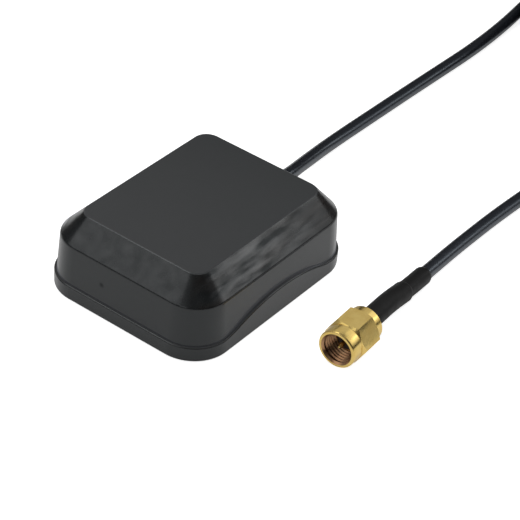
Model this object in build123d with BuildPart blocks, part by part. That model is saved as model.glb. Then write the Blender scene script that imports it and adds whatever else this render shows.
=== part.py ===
# GPS antenna: a bevelled two-shell puck on a rubber foot, with a ceramic patch, its
# amplifier board and a holding magnet inside, and a coaxial lead that ends in a screw-on
# radio plug. Millimetres, +Z up. The origin is the middle of the foot, on the surface that
# the puck stands on. The lead leaves the +Y end, and +X is the long side with the plug.
import os
from math import atan, cos, pi, radians, sin, tan

from build123d import *

# Case outline, measured at the lip of the base
case_width = 39.4
case_length = 48.0
case_height = 16.2
case_corner = 8.0          # plan radius of the base's corners
base_draft = 0.1           # the base narrows by this much on each side towards the foot
foot_round = 0.35

# Cover: an upright wall with a little draft, then a bevel up to the flat top
lip = 0.55                 # the base stands proud of the cover's wall by this much
lip_round = 0.3            # rounding of the base's upper outer edge
wall_draft = 0.5
bevel_drop = 4.7           # the bevel's lower edge lies this far under the flat top
bevel_run = 4.25           # width of the bevel seen from above
top_corner = 2.9           # plan radius of the flat top's corners
edge_round = 0.45
bevel_foot_round = 0.75
bevel_wall = 1.5
roof = 1.8

# Parting line: level at the ends, rising to a hump in the middle of each long side
rim_height = 3.3
hump_height = 6.3
hump_reach = 17.5          # half the hump's length along Y
crest_share = 0.7          # share of the half hump that curves outwards

# Base shell
base_wall = 1.6
foot_lift = 0.1            # the shell stands this far up on its rubber pad
floor_top = 2.0
tongue_wall = 0.9
tongue_gap = 0.05
seal_height = 0.9
groove_depth = 0.5
pad_inset = 3.0
pad_thick = 0.8
pad_corner = 4.5

# Screws that close the case from below
boss_inset = 3.95          # from the cavity's long walls to the screws
boss_end_inset = 3.55      # from the cavity's end walls to the screws
boss_diameter = 5.0
post_diameter = 5.4
boss_foot = 4.0
pilot_depth = 7.0
screw_diameter = 2.0
screw_length = 8.0
head_diameter = 3.8
head_thick = 1.3
head_seat = 2.4            # height of the shoulder that the screw heads press on
cross_width = 0.6
cross_length = 2.2
cross_depth = 0.7
bore_gap = 0.1             # running room of a screw or a locating pin in its hole

# Magnet in its ring on the floor
magnet_inset = 5.0         # from the board's end edges to the magnet
magnet_thick = 2.5
magnet_ring = 1.4
magnet_ring_height = 1.8

# Board with the amplifier under it and the ceramic patch on top
board_side_gap = 2.15      # between the board and the cavity's long walls
board_end_gap = 0.4        # between the board and the screw bosses
board_thick = 1.0
board_bottom = 6.6
board_corner = 1.0
peg_inset = 1.4
peg_diameter = 1.4
peg_height = 1.2
peg_post = 3.2
can_inset = 4.0            # from the board's edge to the shield
can_height = 1.8
can_wall = 0.2
can_corner = 0.8
tape_thick = 0.2
patch_inset = 2.5          # from the board's edge to the ceramic
patch_room = 2.6           # air between the ceramic and the roof
patch_edge = 0.5
electrode_inset = 2.5      # from the ceramic's edge to the silver
electrode_thick = 0.1
electrode_cut = 2.2        # cut corners that give the patch its circular polarisation
feed_offset = 2.4
feed_diameter = 0.8
feed_head = 2.2
feed_head_thick = 0.3
feed_hole_gap = 0.2
rib_width = 2.0
rib_overlap = 0.8          # how far the hold-down ribs reach over the board's edge

# Amplifier parts on the board's underside
chip_width = 2.0
chip_share = 0.8           # length of the amplifier chip, in pitches of the capacitors
chip_height = 0.8
filter_share = 1.15        # side of the filter, in pitches of the capacitors
filter_height = 1.1
capacitor_length = 1.0
capacitor_width = 0.5
capacitor_height = 0.5
part_inset = 3.2           # from the shield's walls to the middle of the outer parts

# Coaxial cable and where it leaves the case
cable_diameter = 2.9
braid_diameter = 2.2
core_diameter = 1.5
conductor_diameter = 0.5
cable_x = -3.0
cable_z = 5.2
jacket_gap = 2.2           # from the board's edge to where the jacket is stripped
braid_length = 2.6
core_length = 3.6
conductor_length = 4.8
solder_diameter = 1.8
solder_reach = 1.5         # the braid's solder joint, measured from the jacket's end
grommet_neck = 4.4
grommet_flange = 5.6
grommet_flange_thick = 0.9
grommet_tip = 3.9
grommet_tail = 6.5
grommet_bore_gap = 0.02

# Plug: places along its axis are measured back from the nut's front face
nose_x = 36.4
nose_y = -5.5
plug_turn = 3.0            # degrees that the plug points away from straight ahead
nut_flats = 8.0
nut_ring = 7.98            # diameter of the round collar in front of the hexagon
nut_ring_round = 0.35
hex_front = 2.65
nut_length = 8.1
hex_chamfer = 30.0
thread_bore = 5.7
thread_mouth = 6.5
mouth_depth = 0.4
thread_end = 5.3
relief_bore = 6.4
relief_end = 6.3
nut_back_bore = 5.4
ring_groove_bore = 6.1
ring_groove_front = 6.9
ring_groove_width = 0.8
neck_gap = 0.06            # radial running room between nut and body
end_gap = 0.1
barrel_diameter = 4.6
barrel_front = 3.6
barrel_bore = 4.1
neck_front = 5.7
collar_diameter = 7.1
collar_round = 0.3
collar_length = 2.2
stem_diameter = 2.5
stem_bore = 1.6
stem_length = 4.5
insulator_end = 6.8
pin_front = 1.0
pin_diameter = 0.9
pin_back_diameter = 1.3
pin_step = 4.6
pin_end = 8.4
pin_socket_depth = 1.0
snap_ring_inner = 4.5
snap_ring_outer = 5.85
snap_ring_width = 0.6
snap_ring_gap = 50.0       # degrees
neck_groove = 4.4
gasket_outer = 5.4
gasket_length = 0.7
ferrule_outer = 3.74
ferrule_inner = 3.04
ferrule_length = 6.2
plug_strip = 5.0           # stripped length of the cable behind the collar
sleeve_gap = 0.02
inner_sleeve_outer = 3.7
inner_sleeve_end = 32.2
outer_sleeve_inner = 3.78
outer_sleeve_outer = 4.2
outer_sleeve_end = 24.6

# Coil of the spare cable, laid down behind the puck
coil_x = 18.0
coil_y = 140.0
coil_mean_diameter = 40.0
coil_width = 14.5
coil_height = 13.0
tie_width = 4.0
tie_thick = 0.8
tie_tail = 6.0
tie_tail_diameter = 1.4
cable_total = 3000.0       # usual length of such a lead

part_nodes = {}
os.makedirs("parts", exist_ok=True)


def keep(name, part):
    """Label a finished piece and write its file."""
    part.label = name
    part_nodes[name] = part
    export_step(part, "parts/" + name + ".step")


# Values worked out from the driving dimensions
base_top = hump_height + 2.0
seat_width = case_width - 2 * lip
seat_length = case_length - 2 * lip
seat_corner = case_corner - lip
low_width = seat_width - 2 * wall_draft
low_length = seat_length - 2 * wall_draft
low_corner = seat_corner - wall_draft
top_width = low_width - 2 * bevel_run
top_length = low_length - 2 * bevel_run
tongue_inset = base_wall + tongue_gap
cavity_inset = tongue_inset + tongue_wall
cavity_width = case_width - 2 * cavity_inset
cavity_length = case_length - 2 * cavity_inset
cavity_corner = case_corner - cavity_inset
tongue_foot = floor_top - groove_depth + seal_height
board_top = board_bottom + board_thick
patch_bottom = board_top + tape_thick
bevel_foot = case_height - bevel_drop
roof_under = case_height - roof
patch_top = roof_under - patch_room
electrode_top = patch_top + electrode_thick
pad_top = pad_thick
boss_x = cavity_width / 2 - boss_inset
boss_y = cavity_length / 2 - boss_end_inset
board_width = cavity_width - 2 * board_side_gap
board_length = 2 * (boss_y - boss_diameter / 2 - board_end_gap)
peg_x = board_width / 2 - peg_inset
peg_y = board_length / 2 - peg_inset
can_width = board_width - 2 * can_inset
can_length = board_length - 2 * can_inset
capacitor_pitch = (can_length - 2 * part_inset) / 6
chip_length = chip_share * capacitor_pitch
filter_side = filter_share * capacitor_pitch
magnet_diameter = board_length - 2 * magnet_inset
patch_width = board_width - 2 * patch_inset
patch_length = board_length - 2 * patch_inset
electrode_width = patch_width - 2 * electrode_inset
electrode_length = patch_length - 2 * electrode_inset
jacket_end = board_length / 2 + jacket_gap
boss_spots = [(sx * boss_x, sy * boss_y) for sx in (-1, 1) for sy in (-1, 1)]
peg_spots = [(sx * peg_x, sy * peg_y) for sx in (-1, 1) for sy in (-1, 1)]

# Route of the lead from the stripped jacket out to the outer turn of the coil
outer_turn = (coil_mean_diameter + coil_width - cable_diameter) / 2
antenna_route = [
    (cable_x, jacket_end, cable_z),
    (cable_x, 33.0, cable_z),
    (-3.9, 46.0, 2.4),
    (-4.4, 60.0, 1.6),
    (-3.7, 81.0, 1.45),
    (-4.3, 112.0, 1.5),
    (coil_x - outer_turn, coil_y, 1.6),
]


# Case shells
with BuildPart() as below_parting:
    crest_half = crest_share * hump_reach
    crest_foot = hump_height - crest_share * (hump_height - rim_height)
    with BuildSketch(Plane.YZ):
        with BuildLine():
            level = Line((-case_length, rim_height), (-hump_reach, rim_height))
            rise = TangentArc(level @ 1, (-crest_half, crest_foot), tangent=level % 1)
            crest = ThreePointArc(rise @ 1, (0, hump_height), (crest_half, crest_foot))
            mirror([level, rise], about=Plane.YZ)
            Polyline(
                (-case_length, rim_height),
                (-case_length, -rim_height),
                (case_length, -rim_height),
                (case_length, rim_height),
            )
        make_face()
    extrude(amount=case_width, both=True)

with BuildPart() as cover_form:
    for height, width, length, corner in (
        (tongue_foot, seat_width, seat_length, seat_corner),
        (rim_height, seat_width, seat_length, seat_corner),
        (bevel_foot, low_width, low_length, low_corner),
        (case_height, top_width, top_length, top_corner),
    ):
        with BuildSketch(Plane.XY.offset(height)):
            RectangleRounded(width, length, corner)
    loft(ruled=True)
    fillet(cover_form.edges().group_by(Axis.Z)[-1], edge_round)
    fillet(cover_form.edges().filter_by_position(Axis.Z, bevel_foot, bevel_foot), bevel_foot_round)

with BuildPart() as cover_hollow:
    bevel_slope = atan((case_height - bevel_foot) / bevel_run)
    inner_shift = bevel_wall / sin(bevel_slope)
    inner_break = bevel_foot - (cavity_width / 2 - low_width / 2 + inner_shift) * tan(bevel_slope)
    roof_inset = inner_shift + (roof_under - bevel_foot) / tan(bevel_slope)
    for height, width, length, corner in (
        (tongue_foot, cavity_width, cavity_length, cavity_corner),
        (inner_break, cavity_width, cavity_length, cavity_corner),
        (roof_under, low_width - 2 * roof_inset, low_length - 2 * roof_inset, top_corner),
    ):
        with BuildSketch(Plane.XY.offset(height)):
            RectangleRounded(width, length, corner)
    loft(ruled=True)
    with BuildSketch(Plane.XY.offset(boss_foot)):
        with Locations(*boss_spots):
            Circle(boss_diameter / 2)
    extrude(amount=case_height, mode=Mode.SUBTRACT)
    with BuildSketch(Plane.XY.offset(board_top)):
        rib_x = board_width / 2 - rib_overlap
        rib_y = board_length / 2 - rib_overlap
        for side in (-1, 1):
            with Locations((side * case_width / 2, 0)):
                Rectangle(case_width - 2 * rib_x, rib_width)
            with Locations((0, side * case_length / 2)):
                Rectangle(rib_width, case_length - 2 * rib_y)
    extrude(amount=case_height, mode=Mode.SUBTRACT)

with BuildPart() as rim_room:
    add(below_parting.part)
    with BuildSketch(Plane.XY.offset(-case_height)):
        RectangleRounded(
            case_width - 2 * tongue_inset,
            case_length - 2 * tongue_inset,
            case_corner - tongue_inset,
        )
    extrude(amount=2 * case_height, mode=Mode.SUBTRACT)

with BuildPart() as cable_slot:
    with BuildSketch(Plane.XZ.offset(-case_length)):
        with Locations((cable_x, cable_z)):
            Circle(grommet_neck / 2)
        with Locations((cable_x, cable_z / 2)):
            Rectangle(grommet_neck, cable_z)
    extrude(amount=case_length / 2 + cavity_inset + tongue_wall)

with BuildPart() as top_cover:
    add(cover_form.part)
    add(cover_hollow.part, mode=Mode.SUBTRACT)
    add(rim_room.part, mode=Mode.SUBTRACT)
    add(cable_slot.part, mode=Mode.SUBTRACT)
    with BuildSketch(Plane.XY.offset(boss_foot)):
        with Locations(*boss_spots):
            Circle(screw_diameter / 2 + bore_gap / 2)
    extrude(amount=pilot_depth, mode=Mode.SUBTRACT)
keep("top_cover", top_cover.part)

with BuildPart() as base_cover:
    base_slope = base_draft / (hump_height - foot_lift)
    for height in (foot_lift, base_top):
        inset = (hump_height - height) * base_slope
        with BuildSketch(Plane.XY.offset(height)):
            RectangleRounded(case_width - 2 * inset, case_length - 2 * inset, case_corner - inset)
    loft(ruled=True)
    add(below_parting.part, mode=Mode.INTERSECT)
    fillet(base_cover.edges().group_by(Axis.Z)[0], foot_round)
    crown = base_cover.edges().filter_by(lambda edge: edge.center().Z > rim_height - foot_lift)
    across = crown.filter_by(Axis.X).filter_by_position(Axis.Y, -hump_reach, hump_reach)
    fillet(crown - across, lip_round)
    with BuildSketch(Plane.XY.offset(floor_top)):
        RectangleRounded(
            case_width - 2 * base_wall, case_length - 2 * base_wall, case_corner - base_wall
        )
    extrude(amount=case_height, mode=Mode.SUBTRACT)
    with BuildSketch(Plane.XY.offset(floor_top - groove_depth)):
        RectangleRounded(
            case_width - 2 * base_wall, case_length - 2 * base_wall, case_corner - base_wall
        )
        RectangleRounded(cavity_width, cavity_length, cavity_corner, mode=Mode.SUBTRACT)
    extrude(amount=groove_depth, mode=Mode.SUBTRACT)
    with BuildSketch(Plane.XY.offset(floor_top)):
        with Locations(*boss_spots):
            Circle(post_diameter / 2)
    extrude(amount=boss_foot - floor_top)
    with BuildSketch(Plane.XY.offset(floor_top)):
        with Locations(*peg_spots):
            Circle(peg_post / 2)
    extrude(amount=board_bottom - floor_top)
    with BuildSketch(Plane.XY.offset(board_bottom)):
        with Locations(*peg_spots):
            Circle(peg_diameter / 2)
    extrude(amount=peg_height)
    with BuildSketch(Plane.XY.offset(floor_top)):
        Circle(magnet_diameter / 2 + bore_gap + magnet_ring)
        Circle(magnet_diameter / 2 + bore_gap, mode=Mode.SUBTRACT)
    extrude(amount=magnet_ring_height)
    with BuildSketch(Plane.XY.offset(foot_lift)):
        RectangleRounded(case_width - 2 * pad_inset, case_length - 2 * pad_inset, pad_corner)
    extrude(amount=pad_top - foot_lift, mode=Mode.SUBTRACT)
    with BuildSketch(Plane.XY.offset(pad_top)):
        with Locations(*boss_spots):
            Circle(head_diameter / 2 + bore_gap)
    extrude(amount=head_seat - pad_top, mode=Mode.SUBTRACT)
    with BuildSketch(Plane.XY.offset(head_seat)):
        with Locations(*boss_spots):
            Circle(screw_diameter / 2 + bore_gap)
    extrude(amount=boss_foot - head_seat, mode=Mode.SUBTRACT)
    with BuildSketch(Plane.XZ.offset(-case_length)):
        with Locations((cable_x, cable_z)):
            Circle(grommet_neck / 2)
    extrude(amount=case_length / 2 + cavity_inset + tongue_wall, mode=Mode.SUBTRACT)
keep("base_cover", base_cover.part)

with BuildPart() as case_seal:
    with BuildSketch(Plane.XY.offset(floor_top - groove_depth)):
        RectangleRounded(
            case_width - 2 * tongue_inset,
            case_length - 2 * tongue_inset,
            case_corner - tongue_inset,
        )
        RectangleRounded(cavity_width, cavity_length, cavity_corner, mode=Mode.SUBTRACT)
    extrude(amount=seal_height)
keep("case_seal", case_seal.part)

with BuildPart() as foot_pad:
    with BuildSketch():
        RectangleRounded(
            case_width - 2 * (pad_inset + bore_gap),
            case_length - 2 * (pad_inset + bore_gap),
            pad_corner - bore_gap,
        )
    extrude(amount=pad_thick)
keep("foot_pad", foot_pad.part)

with BuildPart() as cover_screws:
    for spot in boss_spots:
        with BuildSketch(Plane.XY.offset(head_seat - head_thick)):
            with Locations(spot):
                Circle(head_diameter / 2)
        extrude(amount=head_thick)
        with BuildSketch(Plane.XY.offset(head_seat)):
            with Locations(spot):
                Circle(screw_diameter / 2)
        extrude(amount=screw_length)
        with BuildSketch(Plane.XY.offset(head_seat - head_thick)):
            with Locations(spot):
                Rectangle(cross_length, cross_width)
                Rectangle(cross_width, cross_length)
        extrude(amount=cross_depth, mode=Mode.SUBTRACT)
keep("cover_screws", cover_screws.part)

# Magnet and antenna stack
with BuildPart() as magnet:
    with BuildSketch(Plane.XY.offset(floor_top)):
        Circle(magnet_diameter / 2)
    extrude(amount=magnet_thick)
    chamfer(magnet.edges().group_by(Axis.Z)[-1], bore_gap * 3)
keep("magnet", magnet.part)

with BuildPart() as circuit_board:
    with BuildSketch(Plane.XY.offset(board_bottom)):
        RectangleRounded(board_width, board_length, board_corner)
        with Locations(*peg_spots):
            Circle(peg_diameter / 2 + bore_gap / 2, mode=Mode.SUBTRACT)
        with Locations((0, feed_offset)):
            Circle(feed_diameter / 2 + feed_hole_gap / 2, mode=Mode.SUBTRACT)
    extrude(amount=board_thick)
keep("circuit_board", circuit_board.part)

with BuildPart() as shield_can:
    with BuildSketch(Plane.XY.offset(board_bottom - can_height)):
        RectangleRounded(can_width, can_length, can_corner)
    extrude(amount=can_height)
    with BuildSketch(Plane.XY.offset(board_bottom - can_height + can_wall)):
        RectangleRounded(can_width - 2 * can_wall, can_length - 2 * can_wall, can_corner - can_wall)
    extrude(amount=can_height, mode=Mode.SUBTRACT)
keep("shield_can", shield_can.part)

with BuildPart() as patch_tape:
    with BuildSketch(Plane.XY.offset(board_top)):
        Rectangle(patch_width - 2 * patch_edge, patch_length - 2 * patch_edge)
        with Locations((0, feed_offset)):
            Circle(feed_diameter / 2 + feed_hole_gap, mode=Mode.SUBTRACT)
    extrude(amount=tape_thick)
keep("patch_tape", patch_tape.part)

with BuildPart() as patch_ceramic:
    with BuildSketch(Plane.XY.offset(patch_bottom)):
        RectangleRounded(patch_width, patch_length, patch_edge)
        with Locations((0, feed_offset)):
            Circle(feed_diameter / 2 + feed_hole_gap / 2, mode=Mode.SUBTRACT)
    extrude(amount=patch_top - patch_bottom)
keep("patch_ceramic", patch_ceramic.part)

with BuildPart() as patch_electrode:
    with BuildSketch(Plane.XY.offset(patch_top)) as electrode_outline:
        Rectangle(electrode_width, electrode_length)
        cut_corners = electrode_outline.vertices().group_by(Axis.X)[0].sort_by(Axis.Y)[:1]
        cut_corners += electrode_outline.vertices().group_by(Axis.X)[-1].sort_by(Axis.Y)[-1:]
        chamfer(cut_corners, electrode_cut)
        with Locations((0, feed_offset)):
            Circle(feed_diameter / 2 + feed_hole_gap / 2, mode=Mode.SUBTRACT)
    extrude(amount=electrode_thick)
keep("patch_electrode", patch_electrode.part)

with BuildPart() as feed_pin:
    with BuildSketch(Plane.XY.offset(board_bottom - feed_head_thick)):
        with Locations((0, feed_offset)):
            Circle(feed_diameter / 2)
    extrude(amount=electrode_top - board_bottom + feed_head_thick)
    with BuildSketch(Plane.XY.offset(electrode_top)):
        with Locations((0, feed_offset)):
            Circle(feed_head / 2)
    extrude(amount=feed_head_thick)
    fillet(feed_pin.edges().group_by(Axis.Z)[-1], feed_head_thick * 0.6)
keep("feed_pin", feed_pin.part)

with BuildPart() as amplifier_chip:
    with BuildSketch(Plane.XY.offset(board_bottom - chip_height)):
        with Locations((-capacitor_pitch * 1.5, -capacitor_pitch)):
            Rectangle(chip_width, chip_length)
    extrude(amount=chip_height)
keep("amplifier_chip", amplifier_chip.part)

with BuildPart() as signal_filter:
    with BuildSketch(Plane.XY.offset(board_bottom - filter_height)):
        with Locations((capacitor_pitch * 1.5, -capacitor_pitch)):
            Rectangle(filter_side, filter_side)
    extrude(amount=filter_height)
keep("signal_filter", signal_filter.part)

with BuildPart() as chip_capacitors:
    with BuildSketch(Plane.XY.offset(board_bottom - capacitor_height)):
        for row in (1.5, -2.5):
            with Locations((0, row * capacitor_pitch)):
                with GridLocations(capacitor_pitch, 1, 4, 1):
                    Rectangle(capacitor_width, capacitor_length)
    extrude(amount=capacitor_height)
keep("chip_capacitors", chip_capacitors.part)


# Stripped cable end inside the case
def cable_stub(start, end, outer, inner):
    """A round layer of the cable between two places along Y inside the case."""
    with BuildPart() as layer:
        with BuildSketch(Plane.XZ.offset(-end)):
            with Locations((cable_x, cable_z)):
                Circle(outer / 2)
                if inner:
                    Circle(inner / 2, mode=Mode.SUBTRACT)
        extrude(amount=end - start)
    return layer.part


keep(
    "lead_braid",
    cable_stub(jacket_end - braid_length, jacket_end, braid_diameter, core_diameter),
)
keep(
    "lead_core",
    cable_stub(jacket_end - core_length, jacket_end, core_diameter, conductor_diameter),
)
keep(
    "lead_conductor",
    cable_stub(jacket_end - conductor_length, jacket_end, conductor_diameter, 0),
)

with BuildPart() as solder_joints:
    with BuildSketch(Plane.XY.offset(cable_z)):
        with Locations((cable_x, jacket_end - solder_reach)):
            Circle(solder_diameter / 2)
        with Locations((cable_x, jacket_end - conductor_length + solder_diameter / 4)):
            Circle(solder_diameter / 4)
    extrude(amount=board_bottom - cable_z)
    with BuildSketch(Plane.XZ.offset(-jacket_end)):
        with Locations((cable_x, cable_z)):
            Circle(braid_diameter / 2)
    extrude(amount=core_length, mode=Mode.SUBTRACT)
    with BuildSketch(Plane.XZ.offset(-jacket_end)):
        with Locations((cable_x, cable_z)):
            Circle(conductor_diameter / 2)
    extrude(amount=conductor_length, mode=Mode.SUBTRACT)
keep("solder_joints", solder_joints.part)

with BuildPart() as cable_grommet:
    wall_outside = case_length / 2
    wall_inside = case_length / 2 - cavity_inset
    grommet_axis = Axis((cable_x, 0, cable_z), (0, 1, 0))
    with BuildSketch(Plane((cable_x, 0, cable_z), x_dir=(0, 1, 0), z_dir=(1, 0, 0))):
        with BuildLine():
            Polyline(
                (wall_inside - grommet_flange_thick, 0),
                (wall_inside - grommet_flange_thick, grommet_flange / 2),
                (wall_inside, grommet_flange / 2),
                (wall_inside, grommet_neck / 2),
                (wall_outside, grommet_neck / 2),
                (wall_outside, grommet_flange / 2),
                (wall_outside + grommet_flange_thick, grommet_flange / 2),
                (wall_outside + grommet_tail, grommet_tip / 2),
                (wall_outside + grommet_tail, 0),
                close=True,
            )
        make_face()
    revolve(axis=grommet_axis)
    with BuildSketch(Plane.XZ.offset(-case_length)):
        with Locations((cable_x, cable_z)):
            Circle(cable_diameter / 2 + grommet_bore_gap)
    extrude(amount=case_length, mode=Mode.SUBTRACT)
keep("cable_grommet", cable_grommet.part)


# Cable tubes
def bend_radii(route):
    """The largest radius that each corner's two runs allow."""
    radii = []
    for before, corner, after in zip(route, route[1:], route[2:]):
        first = Vector(*corner) - Vector(*before)
        second = Vector(*after) - Vector(*corner)
        turn = radians(first.get_angle(second))
        radii.append(0.45 * min(first.length, second.length) / tan(turn / 2))
    return radii


def lead_path(route):
    """Straight runs joined by tangent arcs."""
    with BuildLine() as path:
        FilletPolyline(*route, radius=bend_radii(route))
    return path.wires()[0]


def tube(path, outer, inner=0.0):
    """A round tube along a path."""
    start = Plane(origin=path @ 0, z_dir=path % 0)
    with BuildPart() as body:
        with BuildSketch(start):
            Circle(outer / 2)
            if inner:
                Circle(inner / 2, mode=Mode.SUBTRACT)
        sweep(path=path)
    return body.part


nut_height = nut_flats / 2
plug_back = Vector(-sin(radians(plug_turn)), cos(radians(plug_turn)), 0)
plug_side = Vector(cos(radians(plug_turn)), sin(radians(plug_turn)), 0)
plug_nose = Vector(nose_x, nose_y, nut_height)
plug_axis = Axis(plug_nose, plug_back)
plug_section = Plane(plug_nose, x_dir=plug_back, z_dir=plug_side)
plug_face = Plane(plug_nose, x_dir=-plug_side, z_dir=plug_back)
collar_front = nut_length + end_gap
collar_back = collar_front + collar_length
strip_end = collar_back + plug_strip
ferrule_back = collar_back + ferrule_length


def on_plug_axis(place, height=nut_height):
    """The point that lies a given way back along the plug's axis, at a given height."""
    spot = plug_nose + plug_back * place
    return (spot.X, spot.Y, height)


# Route of the lead from the plug's stripped end back over the outer turn of the coil
inner_turn = outer_turn - cable_diameter / 2
plug_route = [
    on_plug_axis(strip_end),
    on_plug_axis(18.2),
    on_plug_axis(24.0, 3.13),
    (34.45, 27.5, 2.05),
    (34.2, 40.5, 1.5),
    (34.8, 60.7, 1.45),
    (36.6, 86.0, 1.5),
    (38.6, 106.0, 1.45),
    (40.2, 120.0, 2.4),
    (41.6, 130.0, 4.6),
    (coil_x + inner_turn, coil_y, 4.3),
]

antenna_path = lead_path(antenna_route)
plug_path = lead_path(plug_route)
keep("antenna_lead", tube(antenna_path, cable_diameter))
keep("connector_lead", tube(plug_path, cable_diameter))


def turned(profile):
    """A piece of the plug turned from (place, radius) corners about the plug's axis."""
    with BuildPart() as piece:
        with BuildSketch(plug_section):
            with BuildLine():
                Polyline(*profile, close=True)
            make_face()
        revolve(axis=plug_axis)
    return piece.part


def ring_profile(front, back, outer, inner):
    """Corners of a plain ring's section, from diameters."""
    return [(front, inner / 2), (back, inner / 2), (back, outer / 2), (front, outer / 2)]


# Coupling nut
with BuildPart() as coupling_nut:
    nut_corner = nut_height / cos(radians(30))
    chamfer_run = (nut_corner - nut_height) * tan(radians(hex_chamfer))
    with BuildSketch(plug_face.offset(hex_front)):
        RegularPolygon(nut_height, side_count=6, major_radius=False)
    extrude(amount=nut_length - hex_front)
    add(
        turned(
            [
                (hex_front, 0),
                (hex_front, nut_height - chamfer_run),
                (hex_front + 2 * chamfer_run, nut_corner),
                (nut_length - chamfer_run, nut_corner),
                (nut_length, nut_height),
                (nut_length, 0),
            ]
        ),
        mode=Mode.INTERSECT,
    )
    add(
        turned(
            [
                (0, 0),
                (0, nut_ring / 2 - nut_ring_round),
                (nut_ring_round, nut_ring / 2),
                (hex_front + chamfer_run, nut_ring / 2),
                (hex_front + chamfer_run, 0),
            ]
        )
    )
    groove_back = ring_groove_front + ring_groove_width
    add(
        turned(
            [
                (0, 0),
                (0, thread_mouth / 2),
                (mouth_depth, thread_bore / 2),
                (thread_end, thread_bore / 2),
                (thread_end, relief_bore / 2),
                (relief_end, relief_bore / 2),
                (relief_end, nut_back_bore / 2),
                (ring_groove_front, nut_back_bore / 2),
                (ring_groove_front, ring_groove_bore / 2),
                (groove_back, ring_groove_bore / 2),
                (groove_back, nut_back_bore / 2),
                (nut_length, nut_back_bore / 2),
                (nut_length, 0),
            ]
        ),
        mode=Mode.SUBTRACT,
    )
keep("coupling_nut", coupling_nut.part)

# Plug body, its insulator and contact
neck_diameter = nut_back_bore - 2 * neck_gap
keep(
    "plug_body",
    turned(
        [
            (barrel_front, barrel_bore / 2),
            (barrel_front, barrel_diameter / 2),
            (neck_front, barrel_diameter / 2),
            (neck_front, neck_diameter / 2),
            (ring_groove_front, neck_diameter / 2),
            (ring_groove_front, neck_groove / 2),
            (groove_back, neck_groove / 2),
            (groove_back, neck_diameter / 2),
            (collar_front, neck_diameter / 2),
            (collar_front, collar_diameter / 2),
            (collar_back - collar_round, collar_diameter / 2),
            (collar_back, collar_diameter / 2 - collar_round),
            (collar_back, stem_diameter / 2),
            (collar_back + stem_length, stem_diameter / 2),
            (collar_back + stem_length, stem_bore / 2),
            (insulator_end, stem_bore / 2),
            (insulator_end, barrel_bore / 2),
        ]
    ),
)
keep(
    "plug_insulator",
    turned(
        [
            (barrel_front, pin_diameter / 2),
            (pin_step, pin_diameter / 2),
            (pin_step, pin_back_diameter / 2),
            (insulator_end, pin_back_diameter / 2),
            (insulator_end, barrel_bore / 2),
            (barrel_front, barrel_bore / 2),
        ]
    ),
)
keep(
    "contact_pin",
    turned(
        [
            (pin_front, 0),
            (pin_front, pin_diameter / 6),
            (pin_front + pin_diameter / 2, pin_diameter / 2),
            (pin_step, pin_diameter / 2),
            (pin_step, pin_back_diameter / 2),
            (pin_end, pin_back_diameter / 2),
            (pin_end, conductor_diameter / 2),
            (pin_end - pin_socket_depth, conductor_diameter / 2),
            (pin_end - pin_socket_depth, 0),
        ]
    ),
)

with BuildPart() as retaining_ring:
    ring_front = ring_groove_front + (ring_groove_width - snap_ring_width) / 2
    with BuildSketch(plug_face.offset(ring_front)):
        Circle(snap_ring_outer / 2)
        Circle(snap_ring_inner / 2, mode=Mode.SUBTRACT)
        with Locations((0, snap_ring_outer / 2)):
            Rectangle(snap_ring_outer * sin(radians(snap_ring_gap / 2)), snap_ring_outer, mode=Mode.SUBTRACT)
    extrude(amount=snap_ring_width)
keep("retaining_ring", retaining_ring.part)

keep(
    "plug_gasket",
    turned(ring_profile(neck_front - gasket_length, neck_front, gasket_outer, barrel_diameter)),
)

# Crimped cable end in the plug
keep(
    "plug_core",
    turned(ring_profile(pin_end, strip_end, core_diameter, conductor_diameter)),
)
keep(
    "plug_conductor",
    turned(ring_profile(pin_end - pin_socket_depth, strip_end, conductor_diameter, 0)),
)
keep(
    "plug_braid",
    turned(ring_profile(collar_back, strip_end, ferrule_inner, stem_diameter)),
)
keep(
    "crimp_ferrule",
    turned(ring_profile(collar_back, ferrule_back, ferrule_outer, ferrule_inner)),
)


def sleeve(front, back, outer, inner):
    """Heat-shrunk sleeve that follows the cable between two places behind the nut's front."""
    with BuildPart() as body:
        bend_start = max(front, strip_end)
        if front < strip_end:
            with BuildSketch(plug_face.offset(front)):
                Circle(outer / 2)
                Circle(inner / 2, mode=Mode.SUBTRACT)
            extrude(amount=strip_end - front)
        whole = plug_path.length
        path = plug_path.trim((bend_start - strip_end) / whole, (back - strip_end) / whole)
        with BuildSketch(Plane(origin=path @ 0, z_dir=path % 0)):
            Circle(outer / 2)
            Circle(inner / 2, mode=Mode.SUBTRACT)
        sweep(path=path)
    return body.part


keep(
    "heat_shrink_inner",
    sleeve(ferrule_back, inner_sleeve_end, inner_sleeve_outer, cable_diameter + 2 * sleeve_gap),
)
keep(
    "heat_shrink_outer",
    sleeve(collar_back, outer_sleeve_end, outer_sleeve_outer, outer_sleeve_inner),
)

# Coil of spare cable, pinched by its tie on the side away from the puck
coil_radius = coil_mean_diameter / 2
coil_corner = coil_height * 0.42
tie_arc = tie_width / coil_radius * 180 / pi
coil_axis = Axis((coil_x, coil_y, 0), (0, 0, 1))


def coil_section(turn):
    """The upright plane through the coil's axis, at an angle about it from +X."""
    away = Vector(cos(radians(turn)), sin(radians(turn)), 0)
    across = Vector(sin(radians(turn)), -cos(radians(turn)), 0)
    return Plane((coil_x, coil_y, 0), x_dir=away, z_dir=across)


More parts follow.
